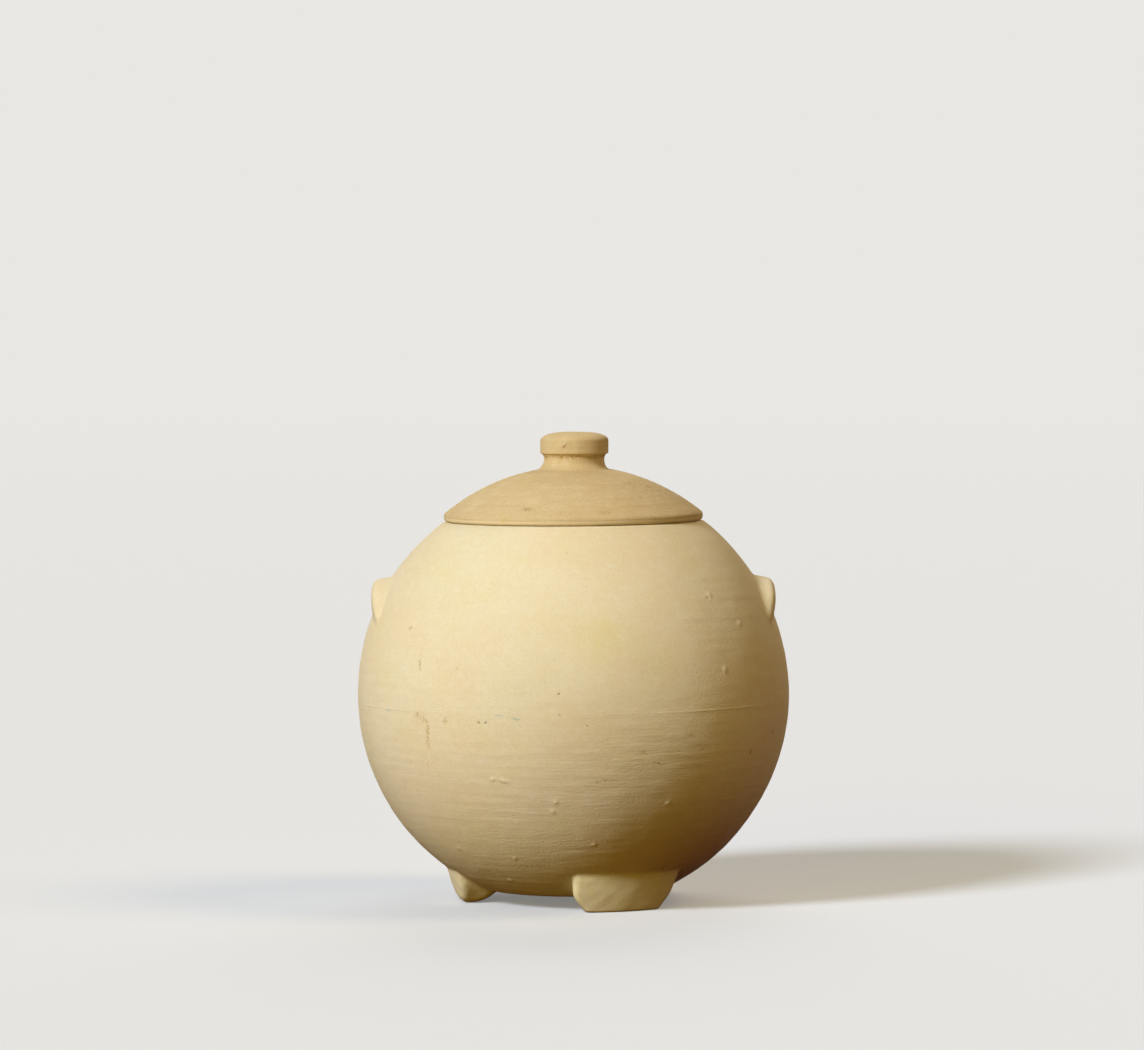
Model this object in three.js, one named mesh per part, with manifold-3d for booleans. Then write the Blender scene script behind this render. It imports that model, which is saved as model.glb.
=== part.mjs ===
// Stoneware jar: a ball-shaped pot luted from two thrown bowls, with two pressed lugs, three slab feet
// and a domed lid with a turned knob. Millimetres, +Z up, origin on the table under the middle of the pot.
import * as THREE from 'three';
import { mergeVertices } from 'three/addons/utils/BufferGeometryUtils.js';
import Module from 'manifold-3d';

const wasm = await Module();
wasm.setup();

const degree = Math.PI / 180;

// Pot
const bodyRadius = 146;
const bodyWall = 8;
const baseRadius = 60;
const baseThickness = 10;
const baseClearance = 7.8;
const mouthRadius = 87.5;
const rimWidth = 9.5;
const rimRound = 1.5;

// Luted waist joint: a ridge under the upper bowl lies in a groove of the lower one, slip fills the outside
const seamDrop = 4;
const seamGap = 0.3;
const ridgeHalfWidth = 2;
const ridgeHeight = 2.5;
const beadHalfHeight = 2.6;
const beadDepth = 2;
const beadProud = 0.8;

// Lugs: oval pads with a crowned face, tilted so that the lower half sinks into the shoulder
const lugHalfWidth = 41.5;
const lugHalfHeight = 37.5;
const lugThickness = 28;
const lugDraft = 1.5 * degree;
const lugEdge = 6.5;
const lugCrown = 2.8;
const lugRise = 40;
const lugSink = 3.9;
const lugTilt = 7.5 * degree;
const lugAngles = { right_lug: 0, left_lug: 180 * degree };

// Feet: slabs bent round the pot, leaning in towards the sole on every side
const footHeight = 25.5;
const footRoot = 5;
const footLean = 23 * degree;
const footSoleWidth = 60;
const footSoleDepth = 13.5;
const footInnerLean = 52 * degree;
const footEndLean = 17 * degree;
const footCorner = 5;
const footEndFlat = 1;
const footEdge = 2;
const footAngles = { front_foot: -62 * degree, rear_foot: 58 * degree, left_foot: 178 * degree };

// Lid
const lidOverhang = 0.3;
const lidDomeRadius = 136.8;
const lidEdgeRadius = 3.3;
const lidWall = 7;
const lidSeatGap = 0.3;
const flangeWall = 6;
const flangeDepth = 9;
const flangeClearance = 1.5;
const flangeRound = 1.2;

// Knob
const knobFootRadius = 25.6;
const knobNeckRadius = 20.4;
const knobNeckHeight = 10.6;
const knobCapRadius = 23;
const knobCapHeight = 14.7;
const knobEdge = 1.2;
const knobShoulder = 4;
const knobCrown = 1.6;

// Clearance left by the slip between two luted pieces
const luteGap = 0.3;

// Fineness of the round forms
const turns = 56;
const knobTurns = 40;
const lugTurns = 44;
const lowerSteps = 10;
const upperSteps = 9;
const innerSteps = 6;
const domeSteps = 8;
const roundSteps = 4;
const bendSteps = 5;
const crownSteps = 3;

// Heights and radii worked out from the sizes above
const bodyCentre = baseClearance + Math.sqrt(bodyRadius ** 2 - baseRadius ** 2);
const seamHeight = bodyCentre - seamDrop;
const mouthHeight = bodyCentre + Math.sqrt(bodyRadius ** 2 - mouthRadius ** 2);
const mouthBore = mouthRadius - rimWidth;
const innerRadius = bodyRadius - bodyWall;

const point = (radius, height) => new THREE.Vector2(radius, height);

// Points along an arc in the profile plane, from one angle to another; 0 points away from the axis.
function arc(centre, radius, from, to, steps) {
  return Array.from({ length: steps + 1 }, (_, step) => {
    const angle = from + ((to - from) * step) / steps;
    return point(centre.x + radius * Math.cos(angle), centre.y + radius * Math.sin(angle));
  });
}

// Merges shared corners into one closed skin; triangles that shrink to a line at a pole go.
function weld(geometry) {
  geometry.deleteAttribute('normal');
  geometry.deleteAttribute('uv');
  const skin = mergeVertices(geometry);
  const corners = skin.index.array;
  const kept = [];
  for (let i = 0; i < corners.length; i += 3) {
    const [a, b, c] = corners.slice(i, i + 3);
    if (a !== b && b !== c && c !== a) {
      kept.push(a, b, c);
    }
  }
  skin.setIndex(kept);
  skin.computeVertexNormals();
  return skin;
}

// A solid turned round the Z axis from a profile that runs up on its outer side.
function turned(profile, segments) {
  return weld(new THREE.LatheGeometry(profile, segments).rotateX(Math.PI / 2));
}

function toSolid(geometry) {
  const vertProperties = new Float32Array(geometry.attributes.position.array);
  const triVerts = new Uint32Array(geometry.index.array);
  return new wasm.Manifold(new wasm.Mesh({ numProp: 3, vertProperties, triVerts }));
}

function toGeometry(solid) {
  const { vertProperties, triVerts } = solid.getMesh();
  const geometry = new THREE.BufferGeometry();
  geometry.setAttribute('position', new THREE.BufferAttribute(new Float32Array(vertProperties), 3));
  geometry.setIndex(Array.from(triVerts));
  geometry.computeVertexNormals();
  return geometry;
}

// A closed skin through a stack of outlines that all have the same number of points. The flat ends are cut
// into triangles along their own outline, because a bent outline isn't convex.
function loft(outlines) {
  const count = outlines[0].length;
  const positions = outlines.flat().flatMap((p) => [p.x, p.y, p.z]);
  const index = [];
  for (let level = 0; level < outlines.length - 1; level += 1) {
    for (let i = 0; i < count; i += 1) {
      const a = level * count + i;
      const b = level * count + ((i + 1) % count);
      index.push(a, b, b + count, a, b + count, a + count);
    }
  }
  const end = (outline) => THREE.ShapeUtils.triangulateShape(outline.map((p) => point(p.x, p.y)), []);
  const top = (outlines.length - 1) * count;
  end(outlines[0]).forEach(([a, b, c]) => index.push(a, c, b));
  end(outlines.at(-1)).forEach(([a, b, c]) => index.push(top + a, top + b, top + c));
  const geometry = new THREE.BufferGeometry();
  geometry.setAttribute('position', new THREE.Float32BufferAttribute(positions, 3));
  geometry.setIndex(index);
  geometry.computeVertexNormals();
  return geometry;
}

// The belly is a sphere; its outer line is cut by these angles at its centre, 0 being level.
const potCentre = point(0, bodyCentre);
const baseAngle = -Math.acos(baseRadius / bodyRadius);
const seamAngle = -Math.asin(seamDrop / bodyRadius);
const mouthAngle = Math.acos(mouthRadius / bodyRadius);
const beadLowAngle = -Math.asin((seamDrop + beadHalfHeight) / bodyRadius);
const beadHighAngle = -Math.asin((seamDrop - seamGap - beadHalfHeight) / bodyRadius);

// The full outside of the pot as one solid, used to scribe the lugs and feet to it.
function potForm(offset) {
  const radius = bodyRadius + offset;
  const floor = baseClearance - offset;
  const lower = arc(potCentre, radius, baseAngle, beadLowAngle, lowerSteps);
  const upper = arc(potCentre, radius, beadHighAngle, mouthAngle, upperSteps);
  const top = upper.at(-1).y;
  return turned([point(0, floor), point(lower[0].x, floor), ...lower, ...upper, point(0, top)], turns);
}

const scribe = toSolid(potForm(luteGap));
const scribed = (geometry) => toGeometry(toSolid(geometry).subtract(scribe));

// Profile of the waist joint from the outer channel to the inner wall, raised by a gap for the upper bowl.
const waistRadius = bodyRadius * Math.cos(seamAngle);
const waistInner = Math.sqrt(innerRadius ** 2 - seamDrop ** 2);
const ridgeRadius = (waistRadius + waistInner) / 2;

function waistJoint(height) {
  return [
    point(waistRadius - beadDepth, height),
    point(ridgeRadius + ridgeHalfWidth, height),
    point(ridgeRadius, height - ridgeHeight),
    point(ridgeRadius - ridgeHalfWidth, height),
    point(waistInner, height),
  ];
}

function lowerBowl() {
  const floor = baseClearance + baseThickness;
  const floorAngle = -Math.asin((bodyCentre - floor) / innerRadius);
  const innerSeamAngle = -Math.asin(seamDrop / innerRadius);
  const outer = arc(potCentre, bodyRadius, baseAngle, beadLowAngle, lowerSteps);
  const inner = arc(potCentre, innerRadius, innerSeamAngle, floorAngle, innerSteps);
  const joint = waistJoint(seamHeight).slice(0, -1);
  return turned([point(0, baseClearance), ...outer, ...joint, ...inner, point(0, floor)], turns);
}

function upperBowl() {
  const low = seamHeight + seamGap;
  const boreAngle = Math.acos(mouthBore / innerRadius);
  const lowAngle = -Math.asin((seamDrop - seamGap) / innerRadius);
  const outer = arc(potCentre, bodyRadius, beadHighAngle, mouthAngle, upperSteps);
  const roundCentre = point(mouthBore + rimRound, mouthHeight - rimRound);
  const lip = arc(roundCentre, rimRound, 90 * degree, 180 * degree, roundSteps);
  const inner = arc(potCentre, innerRadius, boreAngle, lowAngle, innerSteps);
  const joint = waistJoint(low).reverse().slice(1);
  const profile = [...outer, ...lip, ...inner, ...joint];
  return turned([...profile, profile[0].clone()], turns);
}

// Slip bead: a wedge that fills the outer channel but for a gap, with a rounded crown. Its heel stands back
// twice the gap, because the channel runs to a point there.
function seamBead() {
  const middle = seamHeight + seamGap / 2;
  const heel = point(waistRadius - beadDepth + 2 * luteGap, middle);
  const edge = bodyRadius * Math.cos(beadLowAngle) + luteGap;
  const rise = waistRadius + beadProud - edge;
  const crownRadius = (beadHalfHeight ** 2 + rise ** 2) / (2 * rise);
  const crownAngle = Math.asin(beadHalfHeight / crownRadius);
  const crownCentre = point(edge + rise - crownRadius, middle);
  const crown = arc(crownCentre, crownRadius, -crownAngle, crownAngle, roundSteps);
  return turned([heel, ...crown, heel.clone()], turns);
}

// The arc of a low crown that falls from a top on the axis to a given radius.
function crownArc(top, span, fall, steps) {
  const radius = (span ** 2 + fall ** 2) / (2 * fall);
  const angle = Math.asin(span / radius);
  return arc(point(0, top - radius), radius, 90 * degree - angle, 90 * degree, steps);
}

// A lug is a pad turned from its profile, stretched to an oval, laid on its side, sunk and scribed.
function lug(angle) {
  const faceRadius = lugHalfHeight - lugEdge;
  const backRadius = lugHalfHeight + lugThickness * Math.tan(lugDraft);
  const rim = arc(point(faceRadius, -lugCrown - lugEdge), lugEdge, lugDraft, 90 * degree, roundSteps);
  const face = crownArc(0, faceRadius, lugCrown, crownSteps).slice(1);
  const back = [point(0, -lugThickness), point(backRadius, -lugThickness)];
  const pad = turned([...back, ...rim, ...face], lugTurns);
  const reach = Math.sqrt(bodyRadius ** 2 - lugRise ** 2) - lugSink;
  pad.scale(1, lugHalfWidth / lugHalfHeight, 1);
  pad.rotateY(90 * degree + lugTilt).translate(reach, 0, bodyCentre + lugRise).rotateZ(angle);
  return scribed(pad);
}

// Points between the two ends of a straight side, so that the side can be bent.
function side(from, to) {
  const inner = Array.from({ length: bendSteps - 1 }, (_, step) => (step + 1) / bendSteps);
  return inner.map((share) => from.clone().lerp(to, share));
}

// Outline of a foot at one height: a slab bent round the pot's axis, with corners as round as its thickness
// allows, so that a flat stretch stays on each end. Its outer face meets the belly at the foot's height.
const beltRadius = Math.sqrt(bodyRadius ** 2 - (bodyCentre - footHeight) ** 2);
const soleOuter = beltRadius - footHeight * Math.tan(footLean);

function footOutline(height, inset) {
  const outer = soleOuter + height * Math.tan(footLean) - inset;
  const inner = soleOuter - footSoleDepth - height * Math.tan(footInnerLean) + inset;
  const half = footSoleWidth / 2 + height * Math.tan(footEndLean) - inset;
  const corner = Math.min(footCorner, (outer - inner - footEndFlat) / 2);
  const rounded = (x, y, from) => arc(point(x, y), corner, from, from + 90 * degree, roundSteps);
  const outerLeft = rounded(outer - corner, half - corner, 0);
  const innerLeft = rounded(inner + corner, half - corner, 90 * degree);
  const innerRight = rounded(inner + corner, corner - half, 180 * degree);
  const outerRight = rounded(outer - corner, corner - half, 270 * degree);
  const innerSide = side(innerLeft.at(-1), innerRight[0]);
  const outerSide = side(outerRight.at(-1), outerLeft[0]);
  const slab = [...outerLeft, ...innerLeft, ...innerSide, ...innerRight, ...outerRight, ...outerSide];
  return slab.map(({ x, y }) => {
    const turn = y / soleOuter;
    return new THREE.Vector3(x * Math.cos(turn), x * Math.sin(turn), height);
  });
}

function foot(angle) {
  const rounded = Array.from({ length: roundSteps + 1 }, (_, step) => {
    const turn = (90 * degree * step) / roundSteps;
    return footOutline(footEdge * (1 - Math.cos(turn)), footEdge * (1 - Math.sin(turn)));
  });
  return scribed(loft([...rounded, footOutline(footHeight + footRoot, 0)]).rotateZ(angle));
}

// Lid: the dome runs tangent into a rounded edge that ends in a flat rest on the rim.
const lidRadius = mouthRadius + lidOverhang;
const restHeight = mouthHeight + lidSeatGap;
const edgeCentre = point(lidRadius - lidEdgeRadius, restHeight + lidEdgeRadius);
const domeRise = Math.sqrt((lidDomeRadius - lidEdgeRadius) ** 2 - edgeCentre.x ** 2);
const domeCentre = point(0, edgeCentre.y - domeRise);
const padHeight = domeCentre.y + Math.sqrt(lidDomeRadius ** 2 - knobFootRadius ** 2);
const undersideRadius = lidDomeRadius - lidWall;
const flangeOuter = mouthBore - flangeClearance;
const undersideHeight = (radius) => domeCentre.y + Math.sqrt(undersideRadius ** 2 - radius ** 2);

function lidDome() {
  const edgeAngle = Math.atan2(domeRise, edgeCentre.x);
  const padAngle = Math.acos(knobFootRadius / lidDomeRadius);
  const restInner = flangeOuter + luteGap;
  const underAngle = Math.acos(restInner / undersideRadius);
  const underside = arc(domeCentre, undersideRadius, 90 * degree, underAngle, innerSteps);
  const edge = arc(edgeCentre, lidEdgeRadius, -90 * degree, edgeAngle, 2 * roundSteps);
  const dome = arc(domeCentre, lidDomeRadius, edgeAngle, padAngle, domeSteps).slice(1);
  const profile = [...underside, point(restInner, restHeight), ...edge, ...dome, point(0, padHeight)];
  return turned(profile, turns);
}

// Flange: a ring luted into the corner behind the rest, with its top cut to the underside of the dome.
function lidFlange() {
  const inner = flangeOuter - flangeWall;
  const low = restHeight - flangeDepth;
  const innerRound = point(inner + flangeRound, low + flangeRound);
  const outerRound = point(flangeOuter - flangeRound, low + flangeRound);
  const profile = [
    ...arc(innerRound, flangeRound, 180 * degree, 270 * degree, roundSteps / 2),
    ...arc(outerRound, flangeRound, 270 * degree, 360 * degree, roundSteps / 2),
    point(flangeOuter, undersideHeight(flangeOuter) - luteGap),
    point(inner, undersideHeight(inner) - luteGap),
  ];
  return turned([...profile, profile[0].clone()], turns);
}

// Knob: a flared foot on the flat pad of the dome, a waisted neck and an undercut cap with a low crown.
function lidKnob() {
  const foot = padHeight + luteGap;
  const flare = knobFootRadius - knobNeckRadius;
  const capLow = foot + knobNeckHeight;
  const top = capLow + knobCapHeight;
  const flareCentre = point(knobFootRadius, foot + flare);
  const edgeLow = point(knobCapRadius - knobEdge, capLow + knobEdge);
  const shoulderCentre = point(knobCapRadius - knobShoulder, top - knobCrown - knobShoulder);
  const profile = [
    point(0, foot),
    ...arc(flareCentre, flare, 270 * degree, 180 * degree, roundSteps),
    point(knobNeckRadius, capLow),
    ...arc(edgeLow, knobEdge, 270 * degree, 360 * degree, roundSteps / 2),
    ...arc(shoulderCentre, knobShoulder, 0, 90 * degree, roundSteps),
    ...crownArc(top, knobCapRadius - knobShoulder, knobCrown, crownSteps).slice(1),
  ];
  return turned(profile, knobTurns);
}

const bisque = { color: 0xe9dab3, roughness: 0.85, metalness: 0 };
const tanBisque = { color: 0xd2bb85, roughness: 0.8, metalness: 0 };

function piece(name, geometry, finish) {
  const mesh = new THREE.Mesh(geometry, new THREE.MeshStandardMaterial(finish));
  mesh.name = name;
  return mesh;
}

const pot = new THREE.Group();
pot.add(piece('lower_bowl', lowerBowl(), bisque));
pot.add(piece('upper_bowl', upperBowl(), bisque));
pot.add(piece('seam_bead', seamBead(), bisque));
Object.entries(lugAngles).forEach(([name, angle]) => pot.add(piece(name, lug(angle), bisque)));
Object.entries(footAngles).forEach(([name, angle]) => pot.add(piece(name, foot(angle), bisque)));

const lid = new THREE.Group();
lid.add(piece('lid_dome', lidDome(), tanBisque));
lid.add(piece('lid_flange', lidFlange(), tanBisque));
lid.add(piece('lid_knob', lidKnob(), tanBisque));

const jar = new THREE.Group();
jar.add(pot, lid);

export default jar;
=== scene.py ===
import math

import bpy
import numpy as np
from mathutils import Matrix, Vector


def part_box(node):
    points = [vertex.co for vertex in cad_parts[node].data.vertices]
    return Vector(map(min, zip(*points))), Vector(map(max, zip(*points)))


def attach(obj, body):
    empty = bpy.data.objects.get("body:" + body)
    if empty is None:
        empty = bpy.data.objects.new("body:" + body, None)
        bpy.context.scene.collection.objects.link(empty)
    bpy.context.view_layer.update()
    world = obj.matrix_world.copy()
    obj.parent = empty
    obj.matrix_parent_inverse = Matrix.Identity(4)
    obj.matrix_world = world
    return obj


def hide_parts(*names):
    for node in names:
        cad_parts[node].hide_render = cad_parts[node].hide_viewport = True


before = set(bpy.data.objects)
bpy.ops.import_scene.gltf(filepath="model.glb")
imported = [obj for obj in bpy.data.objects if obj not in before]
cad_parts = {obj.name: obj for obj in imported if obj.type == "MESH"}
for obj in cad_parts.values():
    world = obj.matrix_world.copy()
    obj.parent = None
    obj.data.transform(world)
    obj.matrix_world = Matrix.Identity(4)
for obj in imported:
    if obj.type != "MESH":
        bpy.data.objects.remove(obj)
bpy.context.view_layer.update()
mm = 0.001
turn = 2 * math.pi
upward = np.array([0, 0, 1])
sideways = np.array([1, 0, 0])
sameLevel = 0.02 * mm  # corners of a node that differ by less are at one height
tiny = 1e-6  # keeps a divisor from being zero
print("frame loaded:", len(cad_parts), "CAD nodes")


# Widest reach from the jar's axis among the corners that a CAD node has at one height
def reachAt(node, height):
    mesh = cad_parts[node].data
    corners = np.empty(3 * len(mesh.vertices))
    mesh.vertices.foreach_get("co", corners)
    x, y, z = corners.reshape(-1, 3).T
    level = np.abs(z - height) < sameLevel
    return np.hypot(x[level], y[level]).max()


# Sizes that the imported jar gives
lowBox, highBox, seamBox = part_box("lower_bowl"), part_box("upper_bowl"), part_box("seam_bead")
lidBox, flangeBox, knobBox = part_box("lid_dome"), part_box("lid_flange"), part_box("lid_knob")
bellyRadius = highBox[1].x
baseHeight = lowBox[0].z
baseRadius = reachAt("lower_bowl", baseHeight)
bellyCentre = baseHeight + math.sqrt(bellyRadius**2 - baseRadius**2)
bellyMiddle = np.array([0, 0, bellyCentre])
mouthHeight = highBox[1].z
mouthRadius = reachAt("upper_bowl", mouthHeight)
seamHeight = (seamBox[0].z + seamBox[1].z) / 2


# Rounded lower of two distances: they melt into each other over the given width
def softMin(a, b, width):
    near = np.maximum(width - np.abs(a - b), 0) / width
    return np.minimum(a, b) - near**2 * width / 4


# Rounded higher of two distances, in the same way
def softMax(a, b, width):
    return -softMin(-a, -b, width)


# 0 on the first value's side, 1 on the second's, an even S between them
def ease(value, start, end):
    share = np.clip((value - start) / (end - start), 0, 1)
    return share**2 * (3 - 2 * share)


# Soft lumps: the sum of cosine waves of one length that run in directions set by chance from a fixed seed
def lumps(points, height, length, seed):
    waves = 20
    rng = np.random.default_rng(seed)
    runs = rng.normal(size=(waves, 3))
    runs *= turn / length / np.linalg.norm(runs, axis=1, keepdims=True)
    return height * (np.cos(points @ runs.T + rng.uniform(0, turn, waves)).sum(-1) / math.sqrt(waves))


# Angle from an azimuth given in degrees, between minus and plus half a turn
def angleFrom(azimuth, degrees):
    return (azimuth - math.radians(degrees) + math.pi) % turn - math.pi


# Distances along and across a mark that a tilt in degrees turns out of the level
def tiltedBy(tilt, level, climb):
    lean = math.radians(tilt)
    return level * math.cos(lean) + climb * math.sin(lean), climb * math.cos(lean) - level * math.sin(lean)


# Bell over an oval mark: 1 in its middle, about a third at half its length or half its width from there
def bell(along, length, across, width):
    return np.exp(-(2 * along / length) ** 2 - (2 * across / width) ** 2)


# Unit directions from the belly's middle for elevations and azimuths
def aimed(elevation, azimuth):
    elevation, azimuth = np.broadcast_arrays(elevation, azimuth)
    flat = np.cos(elevation)
    return np.stack([flat * np.cos(azimuth), flat * np.sin(azimuth), np.sin(elevation)], -1)


# A profile of radius and height carried round the jar's axis, one column for each azimuth
def carriedRound(profile, azimuth):
    radius, height, azimuth = np.broadcast_arrays(profile[:, :1], profile[:, 1:], azimuth)
    return np.stack([radius * np.cos(azimuth), radius * np.sin(azimuth), height], -1)


# Radius and height along an arc of a profile; 0 degrees points away from the axis
def profileArc(radius, height, size, start, end, steps):
    angle = np.radians(np.linspace(start, end, steps))
    return np.stack([radius + size * np.cos(angle), height + size * np.sin(angle)], -1)


# The side towards the camera, in degrees: columns are close up to one angle from it, even past the other
nearSide = dict(azimuth=-90, close=58, even=88, steps=3600)


# Azimuths of the columns once round, closer together on the near side by the factor crowd
def azimuthRow(columns, crowd=1):
    fine = np.linspace(-math.pi, math.pi, nearSide["steps"] + 1)
    away = np.abs(angleFrom(fine, nearSide["azimuth"]))
    density = 1 + (crowd - 1) * ease(away, math.radians(nearSide["even"]), math.radians(nearSide["close"]))
    count = np.concatenate([[0], np.cumsum((density[1:] + density[:-1]) / 2)])
    return np.interp(np.linspace(0, count[-1], columns, endpoint=False), count, fine)


# Puts a grid of points into a mesh. Columns join round. Rows join round too, or each end closes on a
# pole. Stains may cover the first rows only: the rest stays clean.
def makePiece(name, points, node, clay, poles=None, stains=None):
    body, slot, finish = clay
    rows, columns = points.shape[:2]
    here = np.arange(rows * columns).reshape(rows, columns)
    beside = np.roll(here, -1, axis=1)
    corners = points.reshape(-1, 3)
    fans = np.empty((0, 3), int)
    if poles is None:
        quads = np.stack([here, beside, np.roll(beside, -1, axis=0), np.roll(here, -1, axis=0)], -1)
    else:
        quads = np.stack([here[:-1], beside[:-1], beside[1:], here[1:]], -1)
        first, last = len(corners), len(corners) + 1
        corners = np.vstack([corners, poles])
        firstFan = np.stack([np.full(columns, first), beside[0], here[0]], -1)
        lastFan = np.stack([here[-1], beside[-1], np.full(columns, last)], -1)
        fans = np.vstack([firstFan, lastFan])
    quads = quads.reshape(-1, 4)
    loops = np.concatenate([quads.ravel(), fans.ravel()])
    starts = np.concatenate([4 * np.arange(len(quads)), quads.size + 3 * np.arange(len(fans))])
    mesh = bpy.data.meshes.new(name)
    mesh.vertices.add(len(corners))
    mesh.vertices.foreach_set("co", corners.astype(np.float32).ravel())
    mesh.loops.add(len(loops))
    mesh.loops.foreach_set("vertex_index", loops.astype(np.int32))
    mesh.polygons.add(len(starts))
    mesh.polygons.foreach_set("loop_start", starts.astype(np.int32))
    mesh.polygons.foreach_set("use_smooth", np.ones(len(starts), bool))
    mesh.update(calc_edges=True)
    for stain, strength in (stains or {}).items():
        values = np.zeros(len(corners), np.float32)
        values[:strength.size] = strength.ravel()
        mesh.attributes.new(stain, "FLOAT", "POINT").data.foreach_set("value", values)
    mesh.materials.append(finish)
    piece = bpy.data.objects.new(name, mesh)
    bpy.context.scene.collection.objects.link(piece)
    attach(piece, body)
    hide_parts(node)
    print("piece", name, "with", 2 * len(quads) + len(fans), "triangles")


# Linear colour from an sRGB hex value, by the curve of the sRGB standard
def linear(hexColour):
    parts = [int(hexColour[i:i + 2], 16) / 255 for i in (1, 3, 5)]
    return [p / 12.92 if p <= 0.04045 else ((p + 0.055) / 1.055) ** 2.4 for p in parts] + [1]


# Adds one node: settings go to the node, inputs to its sockets, as a link where the value is a socket
def addNode(tree, kind, inputs=None, **settings):
    node = tree.nodes.new(kind)
    for key, value in settings.items():
        setattr(node, key, value)
    for key, value in (inputs or {}).items():
        if isinstance(value, bpy.types.NodeSocket):
            tree.links.new(value, node.inputs[key])
        else:
            node.inputs[key].default_value = value
    return node


# Starts a bare clay finish: its sheen, the place on the piece, and one noise for each pattern in the look
def clayFinish(name, look):
    finish = bpy.data.materials.new(name)
    finish.use_nodes = True
    tree = finish.node_tree
    shader = tree.nodes["Principled BSDF"]
    shader.inputs["Roughness"].default_value = look["roughness"]
    shader.inputs["Specular IOR Level"].default_value = look["gloss"]
    place = addNode(tree, "ShaderNodeTexCoord").outputs["Object"]
    noise = {}
    for pattern, (size, detail) in look["noises"].items():
        inputs = {"Vector": place, "Scale": 1 / size, "Detail": detail}
        noise[pattern] = addNode(tree, "ShaderNodeTexNoise", inputs).outputs["Fac"]
    return finish, shader, place, noise


# Noise drawn out into level streaks: long along the clay, narrow in height
def levelStreaks(tree, place, streaks):
    run, spacing, detail, roughness = streaks
    stretch = (1 / run, 1 / run, 1 / spacing)
    along = addNode(tree, "ShaderNodeMapping", {"Vector": place, "Scale": stretch}).outputs[0]
    inputs = {"Vector": along, "Scale": 1, "Detail": detail, "Roughness": roughness}
    return addNode(tree, "ShaderNodeTexNoise", inputs).outputs["Fac"]


# Lays a tint over a colour: not at all up to the pattern's first value, by the full share from the second
# one on. A stain of the mesh may add to that share or scale it.
def laidOver(tree, below, tint, pattern, shares, stain=None, way="ADD"):
    start, full, most = shares
    inputs = {"Value": pattern, "From Min": start, "From Max": full, "To Max": most}
    amount = addNode(tree, "ShaderNodeMapRange", inputs).outputs["Result"]
    if stain is not None:
        inputs = {0: amount, 1: stain}
        amount = addNode(tree, "ShaderNodeMath", inputs, operation=way, use_clamp=True).outputs[0]
    inputs = {"Factor": amount, "A": below, "B": linear(tint)}
    return addNode(tree, "ShaderNodeMix", inputs, data_type="RGBA").outputs["Result"]


# Iron specks: a dot round the middle of some cells, which the cell's own colour chooses
def ironSpecks(tree, below, place, look):
    cells = addNode(tree, "ShaderNodeTexVoronoi", {"Vector": place, "Scale": 1 / look["speckSpacing"]})
    reach = look["speckSize"] / look["speckSpacing"]
    inputs = {"Value": cells.outputs["Distance"], "From Min": reach, "From Max": look["speckCore"] * reach}
    dot = addNode(tree, "ShaderNodeMapRange", inputs).outputs["Result"]
    chosen, shares = cells.outputs["Color"], look["shares"]["speck"]
    return laidOver(tree, below, look["speck"], chosen, shares, dot, "MULTIPLY")


# Relief too fine for the mesh: lines, and grit over them
def addRelief(tree, shader, lines, grit, look):
    bump = addNode(tree, "ShaderNodeBump", {"Height": lines, "Distance": look["lineDepth"]}).outputs[0]
    inputs = {"Height": grit, "Distance": look["gritDepth"], "Normal": bump}
    tree.links.new(addNode(tree, "ShaderNodeBump", inputs).outputs[0], shader.inputs["Normal"])


# Noises as size and octaves of detail. Lines and streaks as run, spacing, octaves and roughness of their
# noise. Shares as the pattern's value where a layer starts, its value where the layer is full, and the
# layer's share there.
creamLook = dict(
    cream="#e6dfc6", warm="#e5d9bc", yellow="#e2dbb2", pale="#eae6d5", line="#d6ccad",
    speck="#7d5b34", brown="#6b5433", olive="#c0ae7e", blue="#b6c8c2", drip="#cdb878",
    noises=dict(cloud=(75 * mm, 2), patch=(30 * mm, 3), mottle=(6 * mm, 4), grit=(1.6 * mm, 2),
                fleck=(1.4 * mm, 2)),
    lines=(24 * mm, 1.5 * mm, 3, 0.6), trimTilt=9, leastScored=0.5, mostScored=3,
    shares=dict(warm=(0.42, 0.66, 1), yellow=(0.5, 0.78, 0.7), pale=(0.48, 0.75, 0.5),
                line=(0.5, 0.85, 0.45), grain=(0.48, 0.75, 0.4), speck=(0.55, 0.75, 0.75),
                stain=(0.75, 0.98, 0.8)),
    fleckGain=0.45, speckSpacing=13 * mm, speckSize=0.5 * mm, speckCore=0.4,
    lineDepth=0.115 * mm, gritDepth=0.19 * mm, roughness=0.9, gloss=0.05)


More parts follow.
